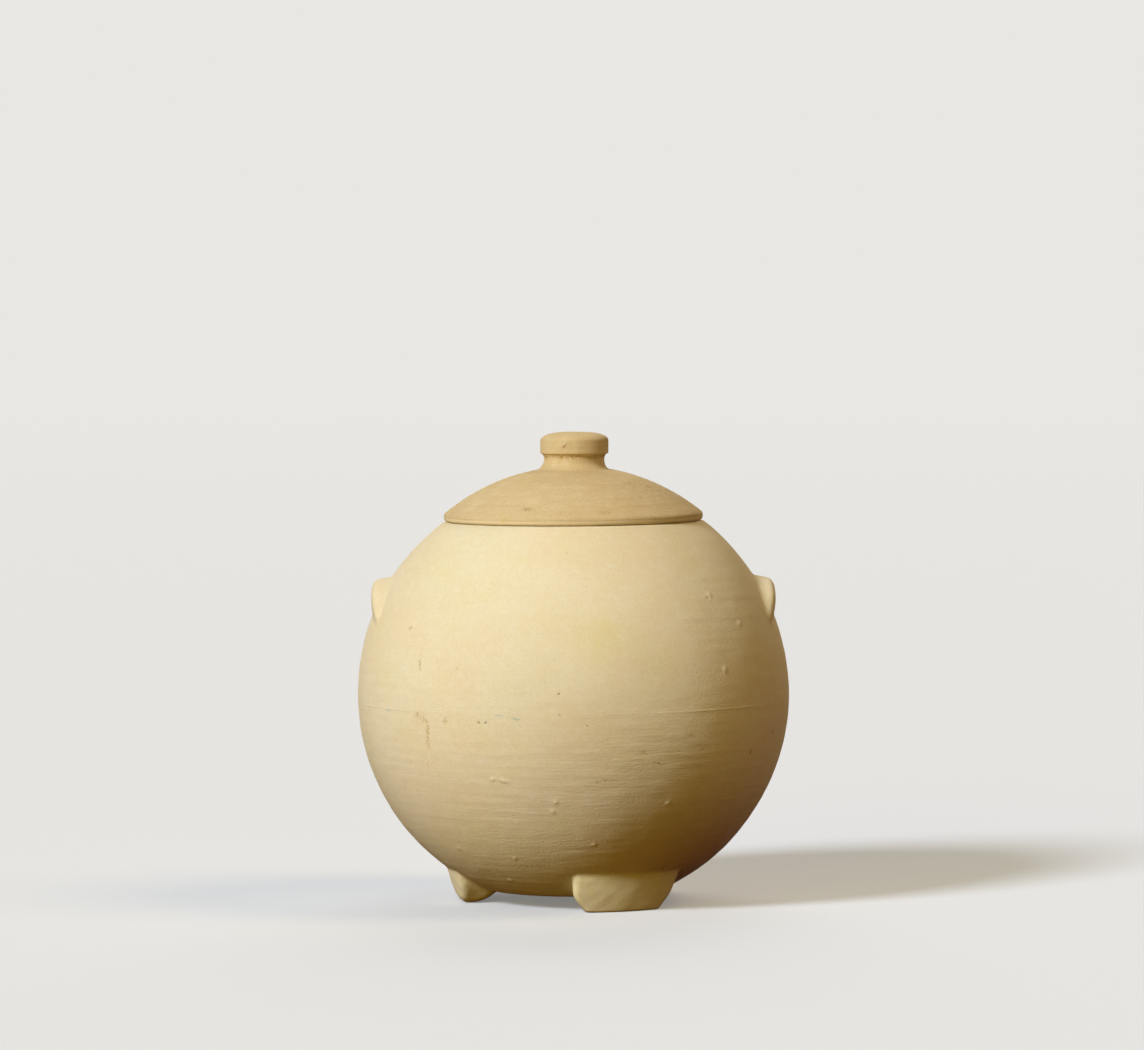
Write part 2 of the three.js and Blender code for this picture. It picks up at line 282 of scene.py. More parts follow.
# Bisque stoneware, thrown and wiped smooth with a wet sponge. Matt and chalky to the eye: cream that
# drifts warmer and yellower in wide clouds, with fine level wipe lines, grit and a few iron specks. Real
# grit is finer than the render can show, so it is drawn 1.6 mm wide, and the stains' flecks 1.4 mm.
def spongedCreamBisque(look):
    finish, shader, place, noise = clayFinish("spongedCreamBisque", look)
    tree, shares = finish.node_tree, look["shares"]
    lines = levelStreaks(tree, place, look["lines"])
    inputs = {"Vector": place, "Angle": math.radians(look["trimTilt"])}
    tilted = addNode(tree, "ShaderNodeVectorRotate", inputs, rotation_type="Y_AXIS").outputs[0]
    arcs = levelStreaks(tree, tilted, look["lines"])
    yellowAndWarmShade = addNode(tree, "ShaderNodeAttribute", attribute_name="yellowAndWarmShadeStain").outputs["Fac"]
    trimmed = addNode(tree, "ShaderNodeAttribute", attribute_name="trimmedStain").outputs["Fac"]
    scored = addNode(tree, "ShaderNodeAttribute", attribute_name="scoredStain").outputs["Fac"]
    inputs = {"Value": scored, "To Min": look["leastScored"], "To Max": look["mostScored"]}
    scored = addNode(tree, "ShaderNodeMapRange", inputs).outputs["Result"]

    # Colour: warm clouds, yellow patches, pale mottling, wipe lines and grain, then the specks
    colour = laidOver(tree, linear(look["cream"]), look["warm"], noise["cloud"], shares["warm"])
    # Yellow patches by chance, plus a painted stain: a real yellow patch on the shoulder and painted warm
    # shade low on the belly
    colour = laidOver(tree, colour, look["yellow"], noise["patch"], shares["yellow"], yellowAndWarmShade)
    colour = laidOver(tree, colour, look["pale"], noise["mottle"], shares["pale"])
    colour = laidOver(tree, colour, look["line"], lines, shares["line"], scored, "MULTIPLY")
    colour = laidOver(tree, colour, look["line"], noise["grit"], shares["grain"])
    colour = ironSpecks(tree, colour, place, look)
    # Stains, and the painted shade of the pits, break up into flecks, which run together where they are
    # strong
    for stain in ("drip", "blue", "olive", "brown"):
        share = addNode(tree, "ShaderNodeAttribute", attribute_name=stain + "Stain").outputs["Fac"]
        inputs = {0: share, 1: look["fleckGain"], 2: noise["fleck"]}
        fill = addNode(tree, "ShaderNodeMath", inputs, operation="MULTIPLY_ADD").outputs[0]
        colour = laidOver(tree, colour, look[stain], fill, shares["stain"])
    tree.links.new(colour, shader.inputs["Base Color"])

    lined = addNode(tree, "ShaderNodeMath", {0: lines, 1: scored}, operation="MULTIPLY").outputs[0]
    inputs = {0: arcs, 1: trimmed, 2: lined}
    lined = addNode(tree, "ShaderNodeMath", inputs, operation="MULTIPLY_ADD").outputs[0]
    addRelief(tree, shader, lined, noise["grit"], look)
    return finish


# As the cream's look, with breaks: the grit's values between which a stain fills up, and its share before
tanLook = dict(
    tan="#d2c19b", brown="#cab488", pale="#daccaa", streak="#c0a778", speck="#6d4a22",
    # The palest colour, #ecdfbf, is painted light on the band low on the lid's edge, which faces away from
    # the lamps
    smudge="#8e6f3c", yellow="#d8b23e", ochre="#a37a2e", rubbed="#ecdfbf",
    noises=dict(cloud=(60 * mm, 3), mottle=(9 * mm, 4), grit=(1.3 * mm, 2)),
    streaks=(60 * mm, 2.8 * mm, 4, 0.65), lines=(60 * mm, 1.7 * mm, 2, 0.5), breaks=(0.38, 0.58, 0.1),
    shares=dict(brown=(0.42, 0.7, 0.7), pale=(0.48, 0.72, 0.6), streak=(0.5, 0.8, 0.5),
                grain=(0.48, 0.75, 0.55), speck=(0.5, 0.7, 0.7)),
    speckSpacing=12 * mm, speckSize=0.5 * mm, speckCore=0.4,
    lineDepth=0.07 * mm, gritDepth=0.1 * mm, roughness=0.88, gloss=0.06)


# The lid's bisque, from a darker firing and dressed with a stiff brush. Matt tan to the eye, with level
# brush streaks, browner clouds, pale mottling and iron specks. Its grit too is drawn coarser, 1.3 mm wide.
def brushedTanBisque(look):
    finish, shader, place, noise = clayFinish("brushedTanBisque", look)
    tree, shares = finish.node_tree, look["shares"]
    streaks = levelStreaks(tree, place, look["streaks"])
    lines = levelStreaks(tree, place, look["lines"])

    # Colour: brown clouds, pale mottling, brush streaks and grain, then the specks
    colour = laidOver(tree, linear(look["tan"]), look["brown"], noise["cloud"], shares["brown"])
    colour = laidOver(tree, colour, look["pale"], noise["mottle"], shares["pale"])
    colour = laidOver(tree, colour, look["streak"], streaks, shares["streak"])
    colour = laidOver(tree, colour, look["streak"], noise["grit"], shares["grain"])
    colour = ironSpecks(tree, colour, place, look)
    # The band low on the lid's edge is painted light and stays even; the other stains break up between the
    # grit
    start, full, least = look["breaks"]
    inputs = {"Value": noise["grit"], "From Min": start, "From Max": full, "To Min": least}
    broken = addNode(tree, "ShaderNodeMapRange", inputs).outputs["Result"]
    for stain in ("rubbed", "smudge", "ochre", "yellow"):
        share = addNode(tree, "ShaderNodeAttribute", attribute_name=stain + "Stain").outputs["Fac"]
        if stain != "rubbed":
            share = addNode(tree, "ShaderNodeMath", {0: share, 1: broken}, operation="MULTIPLY").outputs[0]
        inputs = {"Factor": share, "A": colour, "B": linear(look[stain])}
        colour = addNode(tree, "ShaderNodeMix", inputs, data_type="RGBA").outputs["Result"]
    tree.links.new(colour, shader.inputs["Base Color"])
    addRelief(tree, shader, lines, noise["grit"], look)
    return finish


# Clays as the body they ride on, a slot name and the finish
jarClay = ("jar", "cream_bisque", spongedCreamBisque(creamLook))
lidClay = ("lid", "tan_bisque", brushedTanBisque(tanLook))
print("materials made")


# Marks on the belly as (azimuth, height, length, width, tilt) in degrees and millimetres: length runs
# level, tilt turns the mark, rise is in millimetres, and the stains are shares
bellyMarks = dict(
    pimples=dict(rise=0.55, at=[
        (-36, 193, 3, 3, 0), (-95, 78.5, 2.8, 2.8, 0), (-96, 71.7, 2.8, 2.6, 0), (-83, 49, 2.8, 2.8, 0),
        (-112, 38, 2.8, 2.8, 0), (-120.5, 20.5, 3, 2.6, 0), (-135, 42.6, 2.6, 2.6, 0),
        (-46, 163.6, 2.8, 4.4, 0), (-61.6, 76.3, 2.6, 3.4, 10), (-45, 212.5, 3.4, 3, 30)]),
    # The brown in the pits is painted shade in their hollows
    pits=dict(rise=-0.45, brown=1.45, at=[
        (-46, 211, 2.6, 1.7, 30), (-34, 107, 1.7, 4.5, 0), (-93.5, 151, 1.5, 3, 0),
        (-115.4, 130.6, 1.7, 3.6, 20), (-113.3, 131.2, 2.8, 1.7, 30)]),
    scuffs=dict(rise=-0.1, olive=0.95, at=[
        (-135.5, 134, 8, 5, 0), (-133, 131, 7, 6, 20), (-125.6, 131.4, 5, 8, 0), (-131.6, 124, 5, 12, 0),
        (-132, 114, 3.5, 10, 0), (-135, 167.6, 4, 11, 8), (-142, 190, 6, 4, 40), (-93.7, 137, 4, 2, 0),
        (-122, 166, 2.6, 2.6, 0), (-29, 196, 7, 3, -10), (-22.6, 119, 8, 5, 30), (-71, 111, 6, 5, 0),
        (-57.7, 121.5, 9, 4, 0), (-50, 30, 6, 9, 0)]),
    smudges=dict(rise=-0.08, brown=0.88, at=[
        (-67.3, 104.2, 7, 1.9, 0), (-65, 102.8, 7, 1.8, -3), (-86.4, 130, 4, 2, 0),
        (-54.6, 115, 5, 1.9, -8), (-53, 111.8, 4.5, 1.8, -8), (-41, 45, 2.6, 2.4, 0),
        (-54, 100.7, 4.5, 1.9, 0), (-83.4, 91.7, 4, 2, 0), (-63, 92, 5, 2.2, 0),
        (-81.3, 93, 4.5, 1.8, 10), (-88.6, 94.5, 5, 2, 10)]),
    drips=dict(drip=0.55, at=[(-133.3, 101.6, 4, 22, 0), (-142, 88.6, 12, 12, 0), (-135, 176, 3, 16, 0)]),
    smears=dict(blue=1.0, at=[
        (-147.5, 135, 9, 3.4, 0), (-109.3, 135.8, 8, 2.8, 0), (-105, 134, 9, 2.4, -8)]),
    scars=dict(rise=0.85, at=[(-109.4, 92.4, 6.6, 2.1, -13), (-112.6, 93.2, 4.2, 1.9, 4)]),
    trims=dict(rise=-0.12, at=[
        (-70, 110, 30, 1.6, -1.5), (-60, 99, 34, 1.5, -2.5), (-66, 92, 26, 1.6, -2),
        (-58, 106, 24, 1.5, -3)]),
    scores=dict(scored=0.5, at=[(-70, 100, 100, 50, 0)]),
    # The wide yellowing low on the belly is painted warm shade, for the warm light thrown up from below;
    # the one on the shoulder is a yellow patch of the clay
    yellowPatchAndWarmShade=dict(yellowAndWarmShade=0.8, at=[(-84, 190, 50, 26, 0), (-120, 24, 190, 90, 0)]),
    turnings=dict(scored=0.4, at=[(-90, 55, 800, 130, 0)]),
    swirls=dict(trimmed=1.6, at=[(-96, 44, 150, 56, 8)]))
strays = dict(count=70, rise=0.3 * mm, width=2 * mm, low=30 * mm, high=235 * mm, seed=11)


# Share of one mark at points of the ball: a bell over the distances along and across it
def markShare(azimuth, height, mark):
    markAzimuth, markHeight, length, width, tilt = mark
    ring = np.sqrt(np.maximum(bellyRadius**2 - (height - bellyCentre) ** 2, 0))
    level = angleFrom(azimuth, markAzimuth) * ring / mm
    elevation = np.arcsin(np.clip((height - bellyCentre) / bellyRadius, -1, 1))
    markElevation = math.asin((markHeight * mm - bellyCentre) / bellyRadius)
    climb = bellyRadius * (elevation - markElevation) / mm
    along, across = tiltedBy(tilt, level, climb)
    return bell(along, length, across, width)


# Sum of all marks of the belly in one channel, such as their rise or their brown stain
def markSum(directions, channel):
    azimuth = np.arctan2(directions[..., 1], directions[..., 0])
    height = bellyCentre + bellyRadius * directions[..., 2]
    total = np.zeros(azimuth.shape)
    for group in bellyMarks.values():
        for mark in group["at"] if channel in group else ():
            total += group[channel] * markShare(azimuth, height, mark)
    return total


# Stray pimples and pits, set out by chance from a fixed seed: a round bell over the distance from each
def strayRise(directions):
    rng = np.random.default_rng(strays["seed"])
    azimuth = rng.uniform(-math.pi, math.pi, strays["count"])
    height = (rng.uniform(strays["low"], strays["high"], strays["count"]) - bellyCentre) / bellyRadius
    rise = strays["rise"] * rng.uniform(-1, 1, strays["count"])
    middles = aimed(np.arcsin(height), azimuth)
    apartSquared = 2 * bellyRadius**2 * np.maximum(1 - directions.reshape(-1, 3) @ middles.T, 0)
    return (np.exp(-4 * apartSquared / strays["width"] ** 2) @ rise).reshape(directions.shape[:-1])


# Lump, dent, band and the ring's wander and change as height, length and seed; the out-of-round turn in
# radians; other angles in degrees, leads being those by which rows stop short of a bend; the lip's arc as
# start, end and rows; fades as shares of the inside's rows
belly = dict(
    outOfRound=0.25 * mm, outOfRoundTurn=0.7, lump=(0.12 * mm, 55 * mm, 1), dent=(0.045 * mm, 14 * mm, 2),
    ring=0.03 * mm, ringSpacing=7 * mm, ringWander=(1, 90 * mm, 3), ringMean=0.6,
    ringChange=(0.4, 70 * mm, 4), band=(0.032 * mm, 42 * mm, 5), bandSquash=6, wall=8 * mm,
    floor=10 * mm, floorBend=14 * mm, baseEdge=3 * mm, seamGap=0.3 * mm, lean=0.008,
    leanFrom=226 * mm, rimEdge=1.6 * mm, rimWidth=9.5 * mm, rimLead=1,
    lipRound=1.5 * mm, lipArc=(105, 180, 5), lipLead=0.5, ridge=0.5 * mm, ridgeSpacing=11 * mm,
    lowFade=(0.05, 0.2), highFade=(0.9, 0.75), nearPole=-88, baseTurn=-67, baseLead=1,
    columns=530, crowd=2.6, baseRows=9, lowRows=150, highRows=140, rimRows=12, innerRows=22)


# Rise of the belly's skin over a true ball: out-of-round waves, lumps, dents and level bands, throwing
# rings that climb in a slow screw, and the marks
def bellyRise(directions):
    azimuth = np.arctan2(directions[..., 1], directions[..., 0])
    spot = directions * bellyRadius
    climb = bellyRadius * np.arcsin(np.clip(directions[..., 2], -1, 1))
    flat = np.hypot(directions[..., 0], directions[..., 1])
    rings = np.sin(turn * climb / belly["ringSpacing"] + azimuth + lumps(spot, *belly["ringWander"]))
    squash = np.array([1, 1, belly["bandSquash"]])
    return (belly["outOfRound"] * flat**2 * np.cos(2 * azimuth + belly["outOfRoundTurn"])
            + lumps(spot, *belly["lump"]) + lumps(spot, *belly["dent"])
            + belly["ring"] * rings * (belly["ringMean"] + lumps(spot, *belly["ringChange"]))
            + lumps(spot * squash, *belly["band"])
            + markSum(directions, "rise") * mm + strayRise(directions))


# All stains of the belly, with its painted shade, by the names that its finish reads
def bellyStains(directions):
    stains = ("brown", "olive", "blue", "drip", "scored", "trimmed", "yellowAndWarmShade")
    return {stain + "Stain": markSum(directions, stain) for stain in stains}


# Distance of the jar's skin from the belly's middle: the ball, cut level by the base and by the mouth
def bellySkin(directions):
    down = np.maximum(-directions[..., 2], tiny)
    up = np.maximum(directions[..., 2], tiny)
    base = (bellyCentre - baseHeight) / down
    rim = (mouthHeight - bellyCentre) / up
    skin = softMin(bellyRadius + bellyRise(directions), base, belly["baseEdge"])
    return softMin(skin, rim, belly["rimEdge"])


# Lifts one side a little, as the mouth and the lid on it lean
def leaned(points, share=1):
    return points + (belly["lean"] * points[..., 0] * share)[..., None] * upward


# Elevation of the waist seam on each azimuth, which leans as the mouth does
def seamElevation(azimuth, shift):
    return math.asin((seamHeight - bellyCentre) / bellyRadius) + belly["lean"] * np.cos(azimuth) + shift


# Ridges that the fingers left inside: a sine over the way up the wall, in a slow screw
def fingerRidges(inner, azimuth):
    climb = bellyRadius * np.arcsin(inner[..., 2])
    return belly["ridge"] * np.sin(turn * climb / belly["ridgeSpacing"] + azimuth)


# Lower half: the belly's skin from the flat base up to the waist, then the inside down to the floor
def lowerBowl():
    azimuth = azimuthRow(belly["columns"], belly["crowd"])
    waist = seamElevation(azimuth, -belly["seamGap"] / 2 / bellyRadius)
    base = np.linspace(belly["nearPole"], belly["baseTurn"] - belly["baseLead"], belly["baseRows"])
    low = np.radians(base)[:, None] + 0 * azimuth
    baseTurn = math.radians(belly["baseTurn"])
    share = np.linspace(0, 1, belly["lowRows"])[:, None]
    outer = aimed(np.vstack([low, baseTurn + (waist - baseTurn) * share]), azimuth)
    skin = bellyMiddle + outer * bellySkin(outer)[..., None]
    # Inside: the wall's own ball, bent into a level floor
    share = np.linspace(0, 1, belly["innerRows"])[:, None]
    inner = aimed(waist + (math.radians(belly["nearPole"]) - waist) * share, azimuth)
    floorHeight = baseHeight + belly["floor"]
    wall = bellyRadius - belly["wall"] + fingerRidges(inner, azimuth) * ease(share, *belly["lowFade"])
    floor = (bellyCentre - floorHeight) / np.maximum(-inner[..., 2], tiny)
    hollow = bellyMiddle + inner * softMin(wall, floor, belly["floorBend"])[..., None]
    poles = [[0, 0, baseHeight], [0, 0, floorHeight]]
    makePiece("lowerBowl", np.vstack([skin, hollow]), "lower_bowl", jarClay, poles, bellyStains(outer))


# Upper half: the belly's skin from the waist up over the flat rim, then the lip and the inside back down
def upperBowl():
    azimuth = azimuthRow(belly["columns"], belly["crowd"])
    waist = seamElevation(azimuth, belly["seamGap"] / 2 / bellyRadius)
    bore = mouthRadius - belly["rimWidth"]
    lipRadius, lipHeight = bore + belly["lipRound"], mouthHeight - belly["lipRound"]
    rimTurn = math.acos(mouthRadius / bellyRadius) - math.radians(belly["rimLead"])
    rimEnd = math.atan2(mouthHeight - bellyCentre, lipRadius)
    rim = np.linspace(rimTurn, rimEnd, belly["rimRows"])[1:, None] + 0 * azimuth
    share = np.linspace(0, 1, belly["highRows"])[:, None]
    outer = aimed(np.vstack([waist + (rimTurn - waist) * share, rim]), azimuth)
    skin = bellyMiddle + outer * bellySkin(outer)[..., None]
    # Inside: a rounded lip, then the wall's own ball
    lip = carriedRound(profileArc(lipRadius, lipHeight, belly["lipRound"], *belly["lipArc"]), azimuth)
    innerTop = math.atan2(lipHeight - bellyCentre, bore) - math.radians(belly["lipLead"])
    share = np.linspace(0, 1, belly["innerRows"])[:, None]
    inner = aimed(innerTop + (waist - innerTop) * share, azimuth)
    wall = bellyRadius - belly["wall"] + fingerRidges(inner, azimuth) * ease(share, *belly["highFade"])
    neck = bore / np.hypot(inner[..., 0], inner[..., 1])
    hollow = bellyMiddle + inner * softMax(wall, neck, belly["lipRound"])[..., None]
    points = np.vstack([skin, lip, hollow])
    points = leaned(points, ease(points[..., 2], belly["leanFrom"], mouthHeight))
    makePiece("upperBowl", points, "upper_bowl", jarClay, None, bellyStains(outer))


# Stretches as azimuth and half length in degrees, and share; uneven as height, length and seed
seam = dict(
    halfBand=3.4 * mm, crest=0.17 * mm, crestWidth=0.75 * mm, lift=0.03 * mm, tuck=0.15 * mm, tuckFrom=0.7,
    depth=2 * mm, rows=25, wiped=0.04, uneven=(0.3, 25 * mm, 6),
    stretches=[(-47, 25, 0.9), (-152, 22, 0.6), (70, 50, 0.7)])


# Bead of slip over the waist joint: a narrow crest, left standing in stretches and wiped flat elsewhere,
# on a thin band whose edges dip under the skin of both bowls
def seamBead():
    azimuth = azimuthRow(belly["columns"], belly["crowd"])
    across = np.linspace(-1, 1, seam["rows"])[:, None] * seam["halfBand"]
    skin = aimed(seamElevation(azimuth, 0) + across / bellyRadius, azimuth)
    standing = np.full(azimuth.shape, seam["wiped"])
    for middle, half, share in seam["stretches"]:
        standing += share * np.exp(-((angleFrom(azimuth, middle) / math.radians(half)) ** 2))
    standing *= 1 + lumps(aimed(0, azimuth) * bellyRadius, *seam["uneven"])
    crest = seam["crest"] * standing * np.exp(-((across / seam["crestWidth"]) ** 2))
    tuck = seam["tuck"] * ease(np.abs(across), seam["tuckFrom"] * seam["halfBand"], seam["halfBand"])
    outer = bellyMiddle + skin * (bellySkin(skin) + crest + seam["lift"] - tuck)[..., None]
    edges = [-1, 0]
    back = bellyMiddle + skin[edges] * (bellyRadius - seam["depth"])
    stains = {name: np.vstack([stain, stain[edges]]) for name, stain in bellyStains(skin).items()}
    makePiece("seamBead", np.vstack([outer, back]), "seam_bead", jarClay, None, stains)


# Pressed pieces start at the first ring's share of their size, and their edge dips under the skin from a
# share on. The search for their skin starts below the belly's.
pressing = dict(firstRing=0.02, tuckFrom=0.93, below=20 * mm, halvings=26)


# Skin of a shape along rays from the belly's middle, by halving: full inside, empty outside, crossed once
def skinAlong(directions, shape, reach):
    low = np.full(directions.shape[:-1], bellyRadius - pressing["below"])
    high = np.full(directions.shape[:-1], bellyRadius + reach)
    for _ in range(pressing["halvings"]):
        middle = (low + high) / 2
        inside = shape(middle) < 0
        low = np.where(inside, middle, low)
        high = np.where(inside, high, middle)
    return (low + high) / 2


# A clay piece pressed on the belly: rays spread from its middle in ever wider rounded rectangles, its
# skin melts into the belly's over the fillet, and its edge dips under it and closes inside the wall
def pressedPiece(name, node, field, look, azimuth, elevation):
    ray = np.linspace(pressing["firstRing"], 1, look["rings"])[:, None]
    spread = -azimuthRow(look["columns"])
    square = look["square"]
    size = (np.abs(np.cos(spread)) ** square + np.abs(np.sin(spread)) ** square) ** (-1 / square)
    level = ray * (size * np.cos(spread) * look["halfLevel"])
    climb = ray * (size * np.sin(spread) * look["halfClimb"])
    middle = aimed(elevation, azimuth)
    east = np.array([-math.sin(azimuth), math.cos(azimuth), 0])
    north = np.cross(middle, east)
    rays = middle + level[..., None] / bellyRadius * east + climb[..., None] / bellyRadius * north
    rays /= np.linalg.norm(rays, axis=-1, keepdims=True)
    skin = bellySkin(rays)

    def shape(reach):
        return softMin(reach - skin, field(bellyMiddle + rays * reach[..., None]), look["fillet"])

    reach = skinAlong(rays, shape, look["reach"]) - look["tuck"] * ease(ray, pressing["tuckFrom"], 1)
    front = bellyMiddle + rays * reach[..., None]
    backRings = [-1, look["rings"] * 2 // 3, look["rings"] // 3]
    back = bellyMiddle + rays[backRings] * (skin[backRings] - look["root"])[..., None]
    poles = [front[0].mean(axis=0), back[-1].mean(axis=0)]
    makePiece(name, np.vstack([front, back]), node, jarClay, poles, bellyStains(rays))


# Lump as height, length and seed; draft in degrees; sides as node and azimuth in radians
lugs = dict(
    halfWidth=41.5 * mm, halfHeight=37.1 * mm, rise=40 * mm, lean=0.0045, draft=9.5, face=137 * mm,
    faceHeight=205.4 * mm, faceRound=47 * mm, faceTurn=300 * mm, edge=4.2 * mm,
    lump=(0.12 * mm, 17 * mm, 7), fillet=1.3 * mm, tuck=0.3 * mm, root=4 * mm, middle=204 * mm,
    halfLevel=52 * mm, halfClimb=24 * mm, square=2.6, reach=30 * mm, rings=84, columns=220,
    sides=dict(rightLug=("right_lug", 0), leftLug=("left_lug", math.pi)))


# Distance from an oval pad on the shoulder: its wall tapers outwards, its face bulges from top to bottom
# and from side to side, and dives under the belly's skin below
def lugField(points, azimuth):
    x = points[..., 0] * math.cos(azimuth) + points[..., 1] * math.sin(azimuth)
    y = points[..., 1] * math.cos(azimuth) - points[..., 0] * math.sin(azimuth)
    climb = points[..., 2] - bellyCentre - lugs["rise"] - lugs["lean"] * points[..., 0]
    bulge = (points[..., 2] - lugs["faceHeight"]) ** 2 / lugs["faceRound"] + y**2 / lugs["faceTurn"]
    face = x - lugs["face"] + bulge / 2
    oval = np.hypot(y * lugs["halfHeight"] / lugs["halfWidth"], climb) - lugs["halfHeight"]
    side = oval + (x - lugs["face"]) * math.tan(math.radians(lugs["draft"]))
    return softMax(side, face, lugs["edge"]) + lumps(points, *lugs["lump"])


# Lump and dent as height, length and seed; ends as side, half width of the sole, and lean below and above
# the knee; places as node, azimuth, height of the top edge, lean of the outer face and rounding of the
# sole's edge; angles in degrees
feet = dict(
    bulge=0.6 * mm, soleDepth=13.5 * mm, innerLean=52, knee=10.5 * mm, kneeRound=1.6 * mm, corner=5 * mm,
    lump=(0.12 * mm, 16 * mm, 8), dent=(0.05 * mm, 8 * mm, 9), fillet=1.3 * mm, tuck=0.3 * mm, root=4 * mm,
    elevation=-60.5, halfLevel=56 * mm, halfClimb=29 * mm, square=4, reach=40 * mm, rings=84, columns=288,
    ends=[(-1, 29.8 * mm, 37, 2), (1, 27.4 * mm, 34, 17)],
    places=dict(frontFoot=("front_foot", -63.8, 26.6 * mm, 17, 1.6 * mm),
                rearFoot=("rear_foot", 58, 24.5 * mm, 20, 3 * mm),
                leftFoot=("left_foot", 178, 23 * mm, 20.5, 5 * mm)))


# Distance from a slab bent round the jar's axis. Its outer face bulges in a parabola, its ends lean in
# below a knee, its inner face leans under the base, and it ends in a level sole with a rounded edge.
def footField(points, azimuth, height, lean, edge):
    lean, innerLean = math.radians(lean), math.radians(feet["innerLean"])
    belt = math.sqrt(bellyRadius**2 - (bellyCentre - height) ** 2)
    soleOuter = belt - height * math.tan(lean)
    x, y, z = np.moveaxis(points, -1, 0)
    radius = np.hypot(x, y)
    arc = soleOuter * angleFrom(np.arctan2(y, x), azimuth)
    rise = np.clip(z / height, 0, 1)
    bulge = 4 * feet["bulge"] * rise * (1 - rise)
    outer = (radius - soleOuter - z * math.tan(lean) - bulge) * math.cos(lean)
    inner = (soleOuter - feet["soleDepth"] - z * math.tan(innerLean) - radius) * math.cos(innerLean)
    walls = softMax(outer, inner, feet["corner"])
    for side, half, lowLean, highLean in feet["ends"]:
        low, high = math.tan(math.radians(lowLean)), math.tan(math.radians(highLean))
        over = side * arc - half - feet["knee"] * low
        end = softMax(over - (z - feet["knee"]) * low, over - (z - feet["knee"]) * high, feet["kneeRound"])
        walls = softMax(walls, end, feet["corner"])
    walls += lumps(points, *feet["lump"]) + lumps(points, *feet["dent"])
    return softMax(walls, -z, edge)


lowerBowl()
upperBowl()
seamBead()
lugElevation = math.asin((lugs["middle"] - bellyCentre) / bellyRadius)
for name, (node, azimuth) in lugs["sides"].items():
    pressedPiece(name, node, lambda points, a=azimuth: lugField(points, a), lugs, azimuth, lugElevation)
footElevation = math.radians(feet["elevation"])
for name, (node, *place) in feet["places"].items():
    azimuth = math.radians(place[0])
    pressedPiece(name, node, lambda points, p=place: footField(points, *p), feet, azimuth, footElevation)
print("jar made")


# Lump and dent as height, length and seed; nearPole in degrees; marks as azimuth in degrees, radius,
# length and width in millimetres, and strength
lid = dict(
    dome=136.8 * mm, edge=3.3 * mm, edgePower=3, wall=7 * mm, slipGap=0.3 * mm,
    lump=(0.12 * mm, 40 * mm, 21), dent=(0.05 * mm, 12 * mm, 22), ring=0.05 * mm, ringSpacing=5 * mm,
    groove=0.24 * mm, grooveHeight=3.2 * mm, grooveWidth=0.45 * mm, rubbed=0.5, paintedLitBandFull=0.7,
    columns=448, underRows=20, lowEdgeRows=18, highEdgeRows=24, domeRows=110, nearPole=89,
    marks=dict(smudge=[(-112.6, 80.2, 6, 2.2, 1.1), (-42.6, 51.7, 5, 2.4, 0.7), (-29.3, 58.4, 5, 2.6, 0.6),
                       # The last, wide smudge makes the lid's right front browner
                       (-75, 83.2, 9, 3, 0.4), (-30, 70, 70, 40, 0.22)],
               yellow=[(-122, 87.7, 3, 0.5, 0.9)]))


# Share of a stain on the lid: the sum of a bell over each of its marks, with none low on the edge
def lidStain(points, marks):
    radius = np.hypot(points[..., 0], points[..., 1]) / mm
    azimuth = np.arctan2(points[..., 1], points[..., 0])
    total = np.zeros(radius.shape)
    for markAzimuth, markRadius, length, width, strength in marks:
        along = angleFrom(azimuth, markAzimuth) * radius
        total += strength * bell(along, length, radius - markRadius, width)
    return (total * (points[..., 2] > lidBox[0].z + lid["edge"] / 2)).clip(0, 1)


